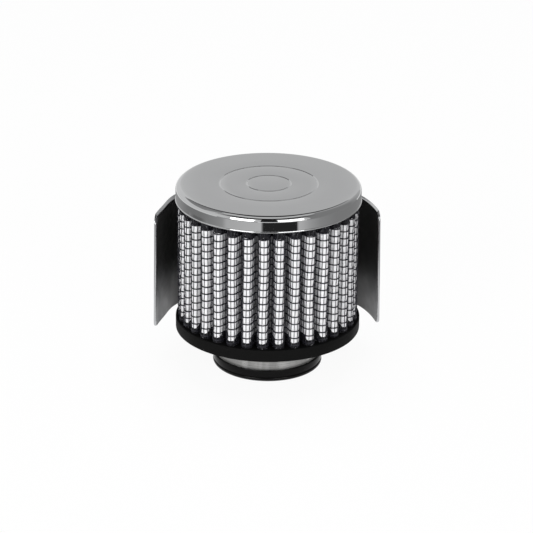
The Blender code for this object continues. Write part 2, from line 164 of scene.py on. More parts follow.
class MouldSizes(bpy.types.PropertyGroup):
    """Moulded urethane: the base ring, its hub and the potted pleat ends."""

    base_height: length("Base height", 5.1, "Height of the base ring")
    hub_height: length("Hub height", 1.0, "Height of the hub under the base ring")
    hub_width: length("Hub width", 6.5, "Width of the hub round the neck")
    edge: length("Edge", 0.35, "Radius of the base ring's edges")
    pack_radius: length("Pack radius", 36.9, "Radius over the outer wires")
    cover: length("Cover", 1.1, "How far the base ring stands out from the wires")
    ragged: length("Ragged edge", 0.3, "How uneven the urethane's edge on the pleats is")
    lumps: length("Lumps", 0.12, "How uneven the urethane's face on the pleats is")
    climb: length("Climb", 2.6, "How much higher the urethane stands in the valleys")
    climb_depth: length("Climb depth", 2.3, "Depth of a fold at which the urethane stands highest")
    sunk: length("Sunk edge", 0.1, "How far the urethane's edge sinks into the cloth")
    disc_edge: length("Disc edge", 0.3, "Radius of the lower edge of the urethane in the cap")
    foot_overlap: length("Foot overlap", 0.5, "How far the lower urethane reaches into the base ring")
    foot_rise: length("Foot rise", 0.25, "How much higher the lower urethane stands than the solid one")
    creep: length("Creep", 0.5, "How far the urethane has crept past its moulded end on the crests")


class NeckSizes(bpy.types.PropertyGroup):
    """Steel neck and the rubber grommet on its end."""

    radius: length("Neck radius", 21.5, "Outer radius of the neck")
    wall: length("Neck wall", 1.0, "Thickness of the neck's sheet")
    bead: length("Neck bead", 1.0, "Radius of the bead under the shield's plate")
    bead_height: length("Bead height", 12.5, "Height of the bead's middle")
    bore: length("Grommet bore", 16.0, "Radius of the grommet's bore")
    lip: length("Grommet lip", 0.8, "Thickness of the rubber outside the neck")
    squeeze: length("Squeeze", 0.05, "Clearance between the rubber and the neck in it")
    floor: length("Grommet floor", 1.7, "Thickness of the rubber under the neck")
    groove_height: length("Groove height", 2.6, "Height of the groove round the grommet")
    groove_width: length("Groove width", 0.6, "Width of the groove")
    groove: length("Groove", 0.35, "Depth of the groove")
    foot_round: length("Foot rounding, up", 1.75, "Height of the grommet's rounded lower edge")
    foot_wide: length("Foot rounding, in", 2.7, "Width of the grommet's rounded lower edge")
    foot_shoulder: length("Foot shoulder", 0.5, "Radius of the edge under the groove")
    soft_edge: length("Soft edge", 0.15, "Radius of the grommet's upper edges")
    gap: length("Gap", 0.3, "Clearance between the neck and what it fits")


class ShieldSizes(bpy.types.PropertyGroup):
    """Bent shield behind the filter, with its tongue and ring plate."""

    sheet: length("Sheet", 1.0, "Thickness of the sheet")
    inner_radius: length("Inner radius", 46.02, "Radius of the wall's inner face")
    set_back: length("Set back", 1.0, "Distance of the wall's centre behind the filter's axis")
    side_shift: length("Side shift", -0.05, "Distance of the wall's centre to the right of the axis")
    flare: length("Flare", 0.6, "How much wider the wall is at its foot than at its top")
    left: turn("Left end", 89.5, "Angle of the left end from straight behind")
    right: turn("Right end", 82.8, "Angle of the right end from straight behind")
    wing_start: turn("Wing start", 56.0, "Angle from straight behind at which the flatter wings start")
    wing_span: turn("Wing span", 36.0, "Angle over which the wings lie inside the round wall")
    left_hollow: length("Left hollow", 1.2, "How far the left wing lies inside the round wall")
    right_hollow: length("Right hollow", 0.3, "How far the right wing lies inside the round wall")
    bevel_left: length("Bevel on the left", 1.5, "Height of the bare bevel inside the left wing's rim")
    bevel_right: length("Bevel on the right", 0.6, "Height of the bare bevel inside the right wing's rim")
    corner: length("Corner", 3.5, "Radius of the wall's corners")
    edge: length("Edge", 0.3, "Radius of the sheet's cut edges")
    plate_width: length("Plate width", 7.0, "Width of the ring plate round the neck")
    plate_foot: length("Plate height", 13.8, "Height of the plate's underside")
    tongue_width: length("Tongue width", 26.0, "Width of the tongue between plate and wall")
    tongue_spread: length("Tongue spread", 3.0, "How much wider each side of the tongue is at the plate")
    tongue_knee: length("Tongue knee", 2.0, "Where each side bends, from its end on the plate")
    tongue_straight: length("Tongue straight", 10.0, "Straight length of each side before the wall")
    segments: amount("Segments", 120, "Columns of the bent wall")


class Finishes(bpy.types.PropertyGroup):
    """Colours of the finishes, as they look in plain light. The cloth's flank and fold tints are painted
    shade, and the inner coat's lower tint is a painted reflection.
    """

    chrome: tint("Cap chrome", 0.52, 0.525, 0.53, "Chrome plate on the cap")
    shield: tint("Shield chrome", 0.5, 0.505, 0.515, "Chrome plate on the shield")
    coat_top: tint("Inner coat, upper", 0.03, 0.03, 0.029, "Dark coat inside the shield, at its top")
    # The lower coat tint is a painted reflection of the white floor, not the coat's own colour.
    coat_foot_painted_reflection: tint("Inner coat, lower", 0.12, 0.122, 0.132, "Dark coat inside the shield, at its foot")
    steel: tint("Neck steel", 0.3, 0.3, 0.295, "Brushed steel of the neck")
    rubber: tint("Rubber", 0.0022, 0.0022, 0.0022, "Grommet rubber")
    urethane: tint("Base urethane", 0.0035, 0.0035, 0.0035, "Moulded base ring")
    potting: tint("Potting", 0.005, 0.005, 0.006, "Urethane on the pleat ends")
    cloth: tint("Cloth", 0.8, 0.8, 0.815, "Cloth on the crests")
    # The flank and fold tints are painted shade: greys that stand in for the shade between the pleats, not
    # dust.
    flank_painted_shade: tint("Cloth on the flanks", 0.68, 0.68, 0.7, "Shaded cloth on the sides of the folds")
    fold: tint("Cloth in the folds", 0.4, 0.4, 0.412, "Cloth deep in the folds")
    wire: tint("Wire coat", 0.014, 0.014, 0.019, "Coating of the wires")


class StageSizes(bpy.types.PropertyGroup):
    """Camera, floor and room."""

    lens: FloatProperty(name="Lens", description="Focal length in millimetres", default=197.0, min=10.0)
    elevation: turn("Elevation", 22.5, "How far the camera looks down")
    roll: turn("Roll", 0.45, "How far the camera is turned about its own axis")
    distance: length("Distance", 1200.0, "Distance from the camera to its target")
    target_x: length("Target, sideways", -0.6, "Where the camera looks, from the filter's axis")
    target_z: length("Target, height", 42.36, "Height that the camera looks at")
    lamp_aim: length("Lamp aim", 45.0, "Height that the lamps face")
    card_centre: length("Card centre", 60.0, "Height of the curved cards' centre")
    floor_reach: length("Floor reach", 6000.0, "Distance from the filter to the floor's edges")
    floor_drop: length("Floor drop", 0.1, "How far the floor lies under the filter's foot")
    paper: share("Paper", 0.86, "Whiteness of the floor")
    floor_glow: share("Floor glow", 0.93, "How much of the seen floor is plain white, without a shadow")
    room: share("Room light", 0.45, "Strength of the room's light on the filter")


PIECE_GROUPS = {
    "breather_cap": CapSizes,
    "breather_pleats": PleatSizes,
    "breather_screen": ScreenSizes,
    "breather_moulds": MouldSizes,
    "breather_neck": NeckSizes,
    "breather_shield": ShieldSizes,
    "breather_finishes": Finishes,
    "breather_stage": StageSizes,
}

# Heights, and the cap's radius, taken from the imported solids
CAP_SKIRT_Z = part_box("top_cap")[0].z
CAP_TOP_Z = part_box("top_cap")[1].z
CAP_RADIUS = -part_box("top_cap")[0].y
POTTING_TOP_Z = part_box("top_potting")[1].z
POTTED_TOP_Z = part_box("top_potting")[0].z
POTTED_FOOT_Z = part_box("base_ring")[1].z
BASE_LOW_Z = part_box("base_ring")[0].z
CLOTH_FOOT_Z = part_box("filter_media")[0].z
CLOTH_TOP_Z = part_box("filter_media")[1].z
NECK_FOOT_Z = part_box("neck")[0].z
NECK_TOP_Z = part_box("neck")[1].z
GROMMET_TOP_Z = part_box("grommet")[1].z
SHIELD_FOOT_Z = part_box("shield")[0].z
SHIELD_TOP_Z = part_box("shield")[1].z


def new_piece(mesh, nodes, finishes):
    """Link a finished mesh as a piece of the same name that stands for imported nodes."""
    mesh.validate()
    mesh.shade_smooth()
    mesh.set_sharp_from_angle(angle=SHARP_ANGLE)
    for made in finishes:
        mesh.materials.append(made)
    piece = bpy.data.objects.new(mesh.name, mesh)
    bpy.context.scene.collection.objects.link(piece)
    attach(piece, BODY)
    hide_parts(*nodes)


def mesh_from(name, bm):
    """A mesh of what an editing mesh holds, which is freed."""
    mesh = bpy.data.meshes.new(name)
    bm.to_mesh(mesh)
    bm.free()
    return mesh


def mesh_of(name, points, faces):
    """A mesh of arrays of points and faces, with its faces turned outwards."""
    mesh = bpy.data.meshes.new(name)
    mesh.from_pydata(np.asarray(points).tolist(), [], np.asarray(faces).tolist())
    bm = bmesh.new()
    bm.from_mesh(mesh)
    bmesh.ops.recalc_face_normals(bm, faces=bm.faces)
    bm.to_mesh(mesh)
    bm.free()
    return mesh


def arc(centre_r, centre_z, radius, start, end, steps):
    """Points of an arc in a turned profile. Angles are in degrees, 0 outwards and 90 up."""
    turned = np.radians(np.linspace(start, end, steps + 1))
    return [(centre_r + radius * math.cos(a), centre_z + radius * math.sin(a)) for a in turned]


def lathe(name, profile, segments=ROUND_SEGMENTS):
    """Spin a profile of (radius, height) points about the filter's axis."""
    bm = bmesh.new()
    points = [bm.verts.new((0.0, -r, z)) for r, z in profile]
    pairs = list(zip(points, points[1:]))
    if profile[0][0] > 0.0:
        pairs.append((points[-1], points[0]))
    edges = [bm.edges.new(pair) for pair in pairs]
    bmesh.ops.spin(
        bm, geom=points + edges, axis=(0, 0, 1), cent=(0, 0, 0),
        angle=math.tau, steps=segments, use_merge=True,
    )
    bmesh.ops.remove_doubles(bm, verts=bm.verts, dist=0.001 * MM)
    bmesh.ops.recalc_face_normals(bm, faces=bm.faces)
    return mesh_from(name, bm)


def band(low, high, count):
    """Quads between two closed rings of points, whose numbers start at low and at high."""
    here = np.arange(count)
    there = (here + 1) % count
    return np.column_stack((low + here, low + there, high + there, high + here))


def soft_step(value, low, high):
    """0 below low, 1 above high and a smooth rise between them."""
    t = np.clip((value - low) / (high - low), 0.0, 1.0)
    return t * t * (3.0 - 2.0 * t)


def polar(radius, angle):
    """Plan points at angles measured from the front, -Y, towards +X."""
    return np.stack((radius * np.sin(angle), -radius * np.cos(angle)), axis=-1)


def behind(radius, angle):
    """Plan points at angles measured from the back, +Y, towards +X."""
    return np.stack((radius * np.sin(angle), radius * np.cos(angle)), axis=-1)


def offset(outline, distance):
    """Move each side of a closed plan outline outwards, or inwards by a negative distance."""
    before = outline - np.roll(outline, 1, axis=0)
    after = np.roll(outline, -1, axis=0) - outline
    before /= np.linalg.norm(before, axis=1)[:, None]
    after /= np.linalg.norm(after, axis=1)[:, None]
    a = np.stack((before[:, 1], -before[:, 0]), axis=1)
    b = np.stack((after[:, 1], -after[:, 0]), axis=1)
    reach = distance / (1.0 + np.sum(a * b, axis=1))
    return outline + (a + b) * reach[:, None]


def round_corners(outline, radii, steps=5):
    """Replace each corner of a closed plan outline by an arc. A radius of 0 keeps the corner."""
    points = []
    arms = zip(outline, np.roll(outline, 1, axis=0), np.roll(outline, -1, axis=0), radii)
    for corner, before, after, radius in arms:
        if radius == 0.0:
            points.append(corner)
            continue
        u = (before - corner) / np.linalg.norm(before - corner)
        v = (after - corner) / np.linalg.norm(after - corner)
        half = math.acos(float(np.clip(u @ v, -1.0, 1.0))) / 2
        middle = (u + v) / np.linalg.norm(u + v)
        centre = corner + middle * radius / math.sin(half)
        first = corner + u * radius / math.tan(half) - centre
        last = corner + v * radius / math.tan(half) - centre
        start = math.atan2(first[1], first[0])
        sweep = math.remainder(math.atan2(last[1], last[0]) - start, math.tau)
        for k in range(steps + 1):
            a = start + sweep * k / steps
            points.append(centre + radius * np.array((math.cos(a), math.sin(a))))
    return np.array(points)


def distance_run(points):
    """A closed plan line with its first point repeated, and how far along it each point is."""
    closed = np.vstack((points, points[:1]))
    return closed, np.concatenate(([0.0], np.cumsum(np.linalg.norm(np.diff(closed, axis=0), axis=1))))


def points_at(closed, run, at):
    """Points of a plan line at some distances along it."""
    return np.stack([np.interp(at, run, closed[:, k]) for k in range(2)], axis=1)


def resample(points, count):
    """Points spread evenly along a closed plan line, from its first point on."""
    closed, run = distance_run(points)
    return points_at(closed, run, run[-1] * np.arange(count) / count)


class Pleats:
    """Plan of the folded cloth, and the small unevenness that its pleats have."""

    def __init__(self, sizes):
        self.sizes = sizes
        self.pitch = math.tau / sizes.count
        random = np.random.default_rng(36)
        shape = (2, sizes.count)
        self.phase = random.uniform(0.0, math.tau, shape)
        self.strength = random.uniform(0.35, 1.0, shape) * random.choice((-1, 1), shape)

    def folds(self, distance, corners):
        """The corners of every pleat, given as radii and angles from its crest, moved outwards."""
        crests = self.sizes.front + self.pitch * np.arange(self.sizes.count)
        points = [polar(radius, crest + turned) for crest in crests for radius, turned in corners]
        return offset(np.array(points), distance)

    def outer(self, distance, rounding=0.0):
        """Outer plan line at a distance from the cloth, starting in the middle of a crest.

        The rounding is added to that of the crests' shoulders."""
        s = self.sizes
        half = self.pitch * s.crest_share / 2
        line = self.folds(distance, (
            (s.crest_radius, 0.0), (s.crest_radius, half),
            (s.valley_radius, self.pitch / 2), (s.crest_radius, self.pitch - half),
        ))
        line[::4] *= 1.0 + s.crown / s.crest_radius
        shoulder = s.crest_round + rounding
        return round_corners(line, [0.0, shoulder, s.valley_round, shoulder] * s.count)

    def inner(self, distance):
        """Inner plan line at a distance from the cloth, starting in the middle of a crest."""
        s = self.sizes
        half = self.pitch * s.fold_share / 2
        line = self.folds(-distance, (
            (s.crest_radius - s.wall, 0.0),
            (s.inner_radius, self.pitch / 2 - half), (s.inner_radius, self.pitch / 2 + half),
        ))
        return round_corners(line, [0.0, s.valley_round, s.valley_round] * s.count)

    def place(self, line, height):
        """Points of a plan line at a height, shifted as the pleats wander between their ends."""
        s = self.sizes
        x, y = line[:, 0], line[:, 1]
        r = np.hypot(x, y)
        a = np.arctan2(x, -y)
        pleat = np.rint((a - s.front) / self.pitch).astype(int) % s.count
        crest = soft_step(r, s.inner_radius, s.crest_radius)
        t = np.clip((height - CLOTH_FOOT_Z) / (CLOTH_TOP_Z - CLOTH_FOOT_Z), 0.0, 1.0)
        free = np.sin(math.pi * t) ** 0.6
        swing = np.sin(math.tau * 0.7 * t + self.phase[:, pleat]) * self.strength[:, pleat] * free * crest
        turned = a + s.sway * swing[0] / r + s.twist * (t - 0.5)
        moved = polar(r + s.lean * np.minimum(swing[1], 0.0), turned)
        return np.column_stack((moved, np.broadcast_to(height, r.shape)))


def ring_rows(name, rows):
    """A mesh of closed rings of points, each joined to the next, and the last one to the first."""
    count = len(rows[0])
    starts = count * np.arange(len(rows))
    faces = [band(a, b, count) for a, b in zip(starts, np.roll(starts, -1))]
    return mesh_of(name, np.vstack(rows), np.vstack(faces))


def rough(points, scale, size):
    """Small even noise at points, between -size and size."""
    return np.array([noise.noise(Vector(p) * scale) for p in points]) * size


def outward(along):
    """Plan directions to the right of some directions along a line."""
    out = np.column_stack((along[:, 1], -along[:, 0], np.zeros(len(along))))
    return out / np.linalg.norm(out, axis=1)[:, None]


def plan_normals(points):
    """Outward plan directions of a closed ring of points."""
    return outward(np.roll(points, -1, axis=0) - np.roll(points, 1, axis=0))


def hoop_heights(sizes):
    """Heights of the hoops that show, and of one that is buried in the urethane at each end."""
    step = (CLOTH_TOP_Z - CLOTH_FOOT_Z) / (sizes.hoops + sizes.end_share)
    return [CLOTH_TOP_Z - step * (i + 1) for i in range(-1, sizes.hoops + 1)], step


def tubes_mesh(name, centres, sides_a, sides_b, radius, sides, closed):
    """Round wires along lines of points, given with two directions across each point."""
    turns = math.tau * np.arange(sides) / sides + math.pi / sides
    points = []
    faces = []
    start = 0
    for line, a, b in zip(centres, sides_a, sides_b):
        count = len(line)
        ring = (
            line[:, None, :]
            + radius * np.cos(turns)[None, :, None] * a[:, None, :]
            + radius * np.sin(turns)[None, :, None] * b[:, None, :]
        )
        points.append(ring.reshape(-1, 3))
        for k in range(count if closed else count - 1):
            faces.append(band(start + k * sides, start + (k + 1) % count * sides, sides))
        start += count * sides
    mesh = bpy.data.meshes.new(name)
    mesh.from_pydata(np.vstack(points).tolist(), [], np.vstack(faces).tolist())
    if closed:
        return mesh
    bm = bmesh.new()
    bm.from_mesh(mesh)
    bmesh.ops.holes_fill(bm, edges=[e for e in bm.edges if e.is_boundary], sides=sides)
    bm.to_mesh(mesh)
    bm.free()
    return mesh


def hoops_mesh(name, pleats, line, heights, radius, points_in_pleat, sides):
    """Level wires that follow the folds."""
    line = resample(line, pleats.sizes.count * points_in_pleat)
    centres = [pleats.place(line, z) for z in heights]
    up = np.tile((0.0, 0.0, 1.0), (len(line), 1))
    out = [plan_normals(c) for c in centres]
    return tubes_mesh(name, centres, out, [up] * len(centres), radius, sides, True)


def uprights_mesh(name, pleats, line, s, low, high, steps, weave):
    """Upright wires, spread along the folds, which swing round the hoops and drift a little."""
    closed, run = distance_run(line)
    total = run[-1]
    count = round(total / s.spacing)
    heights, step = hoop_heights(s)
    centres = []
    normals = []
    for z in np.linspace(low, high, steps + 1):
        middle = (z - (low + high) / 2) / (high - low)
        at = np.arange(count) * total / count
        drift = s.slant * (0.4 + 0.6 * np.sin(math.tau * DRIFT_WAVES * at / total))
        at = (at + drift * middle) % total
        here = pleats.place(points_at(closed, run, at), z)
        ahead = pleats.place(points_at(closed, run, (at + SMALL_STEP) % total), z)
        out = outward(ahead - here)
        swing = weave * np.cos(math.pi * ((z - heights[0]) / step + np.arange(count)))
        centres.append(here + out * swing[:, None])
        normals.append(out)
    out = np.stack(normals, axis=1)
    across = np.cross(out, (0.0, 0.0, 1.0))
    return tubes_mesh(name, np.stack(centres, axis=1), out, across, s.upright_wire / 2, 4, False)


def seam_mesh(name, pleats, angle, radius, s, low, high):
    """The upright strip that joins a screen's ends, pinched in a little at each hoop."""
    heights, step = hoop_heights(s)
    rows = np.linspace(low, high, 6 * len(heights))
    centre = np.vstack([pleats.place(polar(radius, angle)[None, :], z) for z in rows])
    pinch = 1.0 - s.seam_pinch * np.cos(math.pi * (rows - heights[0]) / step) ** 2
    out = np.append(polar(1.0, angle), 0.0)
    thick = np.outer(pinch, out)
    wide = np.outer(pinch, np.cross(out, (0.0, 0.0, 1.0))) * s.seam_width / s.seam_sheet
    return tubes_mesh(name, [centre], [thick], [wide], s.seam_sheet / 2, 12, False)


class Tree:
    """The nodes of a material or of the world."""

    def __init__(self, owner):
        owner.use_nodes = True
        self.owner = owner
        self.nodes = owner.node_tree.nodes

    def add(self, kind, **settings):
        """A new node with its settings."""
        made = self.nodes.new(kind)
        for key, value in settings.items():
            setattr(made, key, value)
        return made

    def feed(self, socket, value):
        """Join a socket to another one, or give it a plain number or colour."""
        if isinstance(value, bpy.types.NodeSocket):
            self.owner.node_tree.links.new(value, socket)
        elif hasattr(value, "__len__"):
            socket.default_value = (*value, 1.0)
        else:
            socket.default_value = value

    def maths(self, operation, *values):
        """The result of one sum with sockets or numbers."""
        made = self.add("ShaderNodeMath", operation=operation)
        for socket, value in zip(made.inputs, values):
            self.feed(socket, value)
        return made.outputs[0]

    def seen_rays(self):
        """1 for rays from the camera, from gloss and through glass, and 0 for the rest."""
        rays = self.add("ShaderNodeLightPath").outputs
        seen = self.maths("MAXIMUM", rays["Is Camera Ray"], rays["Is Glossy Ray"])
        return self.maths("MAXIMUM", seen, rays["Is Transmission Ray"])

    def show_mix(self, output, factor, lit, seen):
        """Show a mix of two shaders: what lights the filter, and what the camera and gloss see."""
        mix = self.add("ShaderNodeMixShader")
        for socket, value in zip(mix.inputs, (factor, lit, seen)):
            self.feed(socket, value)
        self.feed(self.nodes[output].inputs["Surface"], mix.outputs[0])


class Finish(Tree):
    """A new material, with the noise, colours and relief that it needs."""

    def __init__(self, name):
        super().__init__(bpy.data.materials.new(name))
        self.shader = self.nodes["Principled BSDF"]
        self.place = self.add("ShaderNodeTexCoord").outputs["Object"]

    def look(self, **values):
        """Sockets, or values that are the same all over, on the shader's own sockets."""
        for key, value in values.items():
            self.feed(self.shader.inputs[key.replace("_", " ")], value)

    def grain(self, scale, detail, stretch=(1.0, 1.0, 1.0)):
        """Noise in the piece's own space. The scale is in features for each metre."""
        moved = self.add("ShaderNodeMapping")
        moved.inputs["Scale"].default_value = stretch
        self.feed(moved.inputs["Vector"], self.place)
        made = self.add("ShaderNodeTexNoise")
        self.feed(made.inputs["Scale"], scale)
        self.feed(made.inputs["Detail"], detail)
        self.feed(made.inputs["Vector"], moved.outputs["Vector"])
        return made.outputs[0]

    def fit(self, value, low, high, to_low, to_high, course="SMOOTHSTEP"):
        """Map a value from one range to another, held at its ends."""
        made = self.add("ShaderNodeMapRange", interpolation_type=course)
        for socket, number in zip(made.inputs, (value, low, high, to_low, to_high)):
            self.feed(socket, number)
        return made.outputs["Result"]

    def spread(self, grain, low, high):
        """A value that changes with a grain, which lies between 0.3 and 0.7 nearly everywhere."""
        return self.fit(grain, 0.3, 0.7, low, high)

    def blend(self, factor, a, b):
        """A colour between two others. Each is a colour or a socket."""
        made = self.add("ShaderNodeMix", data_type="RGBA")
        self.feed(made.inputs["Factor"], factor)
        self.feed(made.inputs[6], a)
        self.feed(made.inputs[7], b)
        return made.outputs[2]

    def mottle(self, grain, colour, dark, light):
        """A colour that a grain makes darker and lighter."""
        return self.blend(grain, lighter(colour, dark), lighter(colour, light))

    def bump(self, height, distance, strength):
        """Relief on the whole surface, in metres."""
        made = self.add("ShaderNodeBump")
        self.feed(made.inputs["Distance"], distance)
        self.feed(made.inputs["Strength"], strength)
        self.feed(made.inputs["Height"], height)
        self.look(Normal=made.outputs["Normal"])

    def axis(self, name):
        """One coordinate of the piece's own space."""
        made = self.add("ShaderNodeSeparateXYZ")
        self.feed(made.inputs[0], self.place)
        return made.outputs[name]

    def radius(self):
        """Distance from the filter's axis."""
        squares = [self.maths("MULTIPLY", value, value) for value in map(self.axis, "XY")]
        return self.maths("SQRT", self.maths("ADD", *squares))


def lighter(colour, factor):
    """The same colour, scaled and held under 1."""
    return tuple(min(c * factor, 1.0) for c in colour)


def cap_chrome(colours):
    """Bright chrome with the faint waviness of drawn sheet."""
    n = Finish("cap_chrome")
    n.look(
        Metallic=1.0, Base_Color=n.mottle(n.grain(60.0, 4.0), colours.chrome, 0.97, 1.03),
        Roughness=n.spread(n.grain(400.0, 5.0), 0.03, 0.055),
    )
    n.bump(n.grain(45.0, 1.0), 0.03 * MM, 0.6)
    return n.owner


def shield_chrome(colours):
    """Chrome plate on the shield's outer side and edges."""
    n = Finish("shield_chrome")
    n.look(
        Metallic=1.0, Base_Color=n.mottle(n.grain(50.0, 4.0), colours.shield, 0.96, 1.04),
        Roughness=n.spread(n.grain(120.0, 2.0), 0.15, 0.19),
    )
    n.bump(n.grain(30.0, 1.0), 0.05 * MM, 0.6)
    return n.owner


def shield_coat(colours):
    """Dark satin coat inside the shield, with a painted reflection of the floor that greys it towards its
    foot and its ends.
    """
    n = Finish("shield_inner_coat")
    # Painted reflection: the coat's colour turns greyer towards its foot and its ends, where it would mirror
    # the white floor.
    height = n.fit(n.axis("Z"), SHIELD_FOOT_Z - 6 * MM, SHIELD_TOP_Z - 16 * MM, 1.0, 0.0)
    painted_reflection_to_ends = n.fit(n.axis("Y"), 8 * MM, 28 * MM, 1.15, 0.2)
    colour = n.blend(n.maths("MULTIPLY", height, painted_reflection_to_ends), colours.coat_top, colours.coat_foot_painted_reflection)
    dust = n.fit(n.grain(900.0, 4.0), 0.35, 0.75, 0.0, 0.06)
    n.look(
        Specular_IOR_Level=0.27, Base_Color=n.blend(dust, colour, lighter(colours.coat_foot_painted_reflection, 0.6)),
        Roughness=n.spread(n.grain(200.0, 4.0), 0.34, 0.42),
    )
    n.bump(n.grain(2500.0, 3.0), 0.01 * MM, 0.5)
    return n.owner


def neck_steel(colours):
    """Steel, brushed round the tube, with darker painted reflection streaks that run up and down it."""
    n = Finish("neck_steel")
    round_the_tube = n.add("ShaderNodeTangent", direction_type="RADIAL", axis="Z").outputs[0]
    lines = n.grain(9.0, 5.0, (8.0, 8.0, 900.0))
    brushed = n.mottle(lines, colours.steel, 0.85, 1.4)
    # Painted reflection: random darker streaks up and down the tube stand in for the streaks in its
    # reflection.
    painted_reflection_streaks = n.fit(n.grain(170.0, 2.0, (1.0, 1.0, 0.05)), 0.4, 0.6, 0.0, 0.5)
    n.look(
        Metallic=0.6, Anisotropic=0.3, Anisotropic_Rotation=0.25, Tangent=round_the_tube,
        Base_Color=n.blend(painted_reflection_streaks, brushed, lighter(colours.steel, 0.4)),
        Roughness=n.spread(lines, 0.26, 0.36),
    )
    n.bump(lines, 0.02 * MM, 0.8)
    return n.owner


def rubber(name, colour, gloss, roughness, grain_size):
    """Black rubber with a fine moulded grain."""
    n = Finish(name)
    cloud = n.grain(80.0, 4.0)
    n.look(
        Specular_IOR_Level=gloss, Base_Color=n.mottle(cloud, colour, 0.8, 1.25),
        Roughness=n.spread(cloud, roughness * 0.9, roughness * 1.1),
    )
    n.bump(n.grain(grain_size, 3.0), 0.015 * MM, 0.6)
    return n.owner


def potting_urethane(colours):
    """Poured urethane, lumpy where it has crept up the wires, with small painted glints."""
    n = Finish("potting_urethane")
    lump = n.grain(900.0, 4.0)
    # Painted glints: small grey spots in the colour stand in for glints of light on the urethane.
    painted_glint = n.fit(n.grain(1500.0, 2.0), 0.62, 0.72, 0.0, 1.0)
    black = n.mottle(lump, colours.potting, 0.5, 2.5)
    n.look(
        Specular_IOR_Level=0.12, Base_Color=n.blend(painted_glint, black, lighter(colours.fold, 0.5)),
        Roughness=n.spread(lump, 0.15, 0.45),
    )
    n.bump(lump, 0.25 * MM, 1.0)
    return n.owner


def filter_cloth(colours, pleats):
    """White felted cloth, white on its crests, with painted shade that greys its flanks and darkens it deep
    in its folds.
    """
    n = Finish("filter_cloth")
    fibre = n.grain(2600.0, 6.0, (1.0, 1.0, 0.35))
    crest = pleats.crest_radius
    # Painted shade: the cloth gets greyer the nearer it is to the axis, darkest deep in the folds where the
    # pleats shade each other.
    painted_shade_off = n.fit(n.radius(), crest - 3.0 * MM, crest - 0.9 * MM, 0.0, 1.0)
    painted_shade_lighter = n.fit(n.radius(), crest - 6.5 * MM, crest - 3.0 * MM, 0.0, 1.0)
    shade = n.blend(painted_shade_lighter, colours.fold, n.mottle(fibre, colours.flank_painted_shade, 0.7, 1.4))
    white = n.mottle(fibre, colours.cloth, 0.85, 1.06)
    n.look(Specular_IOR_Level=0.1, Base_Color=n.blend(painted_shade_off, shade, white), Roughness=0.95)
    n.bump(fibre, 0.05 * MM, 0.8)
    return n.owner


def screen_wire(colours):
    """Dark epoxy coat on fine wire."""
    n = Finish("screen_wire")
    cloud = n.grain(900.0, 3.0)
    n.look(
        Specular_IOR_Level=0.3, Base_Color=n.mottle(cloud, colours.wire, 0.7, 1.5),
        Roughness=n.spread(cloud, 0.35, 0.5),
    )
    n.bump(cloud, 0.02 * MM, 0.6)
    return n.owner


def pressed_ring(radius, width, depth):
    """Profile points of a soft groove pressed in the cap's top."""
    return [
        (radius + t * width / 2, CAP_TOP_Z - depth * (0.5 + 0.5 * math.cos(math.pi * t)))
        for t in np.linspace(-1.0, 1.0, 11)
    ]


class BREATHER_OT_cap(bpy.types.Operator):
    """Make the chromed cap with its filleted edge, rolled bead and plain pressed rings"""

    bl_idname = "breather.cap"
    bl_label = "Cap"

    def execute(self, context):
        s = context.scene.breather_cap
        skirt = CAP_RADIUS - s.bead_proud
        bead_r = CAP_RADIUS - s.bead
        bead_z = CAP_SKIRT_Z - s.bead_drop + s.bead
        meet = math.degrees(math.acos((skirt - bead_r) / s.bead))
        inside = s.fillet - s.sheet
        inner = CAP_RADIUS - 2 * s.bead
        crease = skirt - s.fillet
        edge_z = CAP_TOP_Z - s.dome
        slope = math.degrees(math.atan(2 * s.dome / (crease - s.dome_start)))
        profile = [(0.0, CAP_TOP_Z)]
        profile += pressed_ring(s.inner_ring, s.ring_width, s.ring_depth)
        profile += pressed_ring(s.outer_ring, s.ring_width, s.ring_depth)
        for t in np.linspace(0.0, 1.0, 9)[:-1]:
            profile.append((s.dome_start + t * (crease - s.dome_start), CAP_TOP_Z - s.dome * t ** 2))
        profile += arc(crease, edge_z - s.fillet, s.fillet, 90 - slope, 0, 14)
        profile += arc(bead_r, bead_z, s.bead, meet, -180, 12)
        profile += arc(inner - inside, edge_z - s.sheet - inside, inside, 0, 90, 5)
        profile.append((0.0, CAP_TOP_Z - s.sheet))
        made = cap_chrome(context.scene.breather_finishes)
        new_piece(lathe("cap", profile, s.segments), ["top_cap"], [made])
        return {"FINISHED"}


class BREATHER_OT_cloth(bpy.types.Operator):
    """Make the folded white filter cloth, swollen a little between its wires"""

    bl_idname = "breather.cloth"
    bl_label = "Filter cloth"

    def execute(self, context):
        s = context.scene.breather_pleats
        pleats = Pleats(s)
        count = s.count * s.steps
        outer = resample(pleats.outer(0.0), count)
        inner = resample(pleats.inner(0.0), count)
        heights, step = hoop_heights(context.scene.breather_screen)
        low = CLOTH_FOOT_Z - s.hidden_foot
        high = CLOTH_TOP_Z + s.hidden_top
        rows = []
        for z in np.linspace(low, high, 3 * len(heights) + 1):
            points = pleats.place(outer, z)
            swell = s.puff * abs(math.sin(math.pi * (z - heights[0]) / step))
            uneven = rough(points * (1.0, 1.0, 0.5), CLOTH_NOISE, s.unevenness)
            rows.append(points + plan_normals(points) * (swell + uneven)[:, None])
        for z in np.linspace(high, low, 7):
            rows.append(pleats.place(inner, z))
        made = filter_cloth(context.scene.breather_finishes, s)
        new_piece(ring_rows("cloth", rows), ["filter_media"], [made])
        return {"FINISHED"}


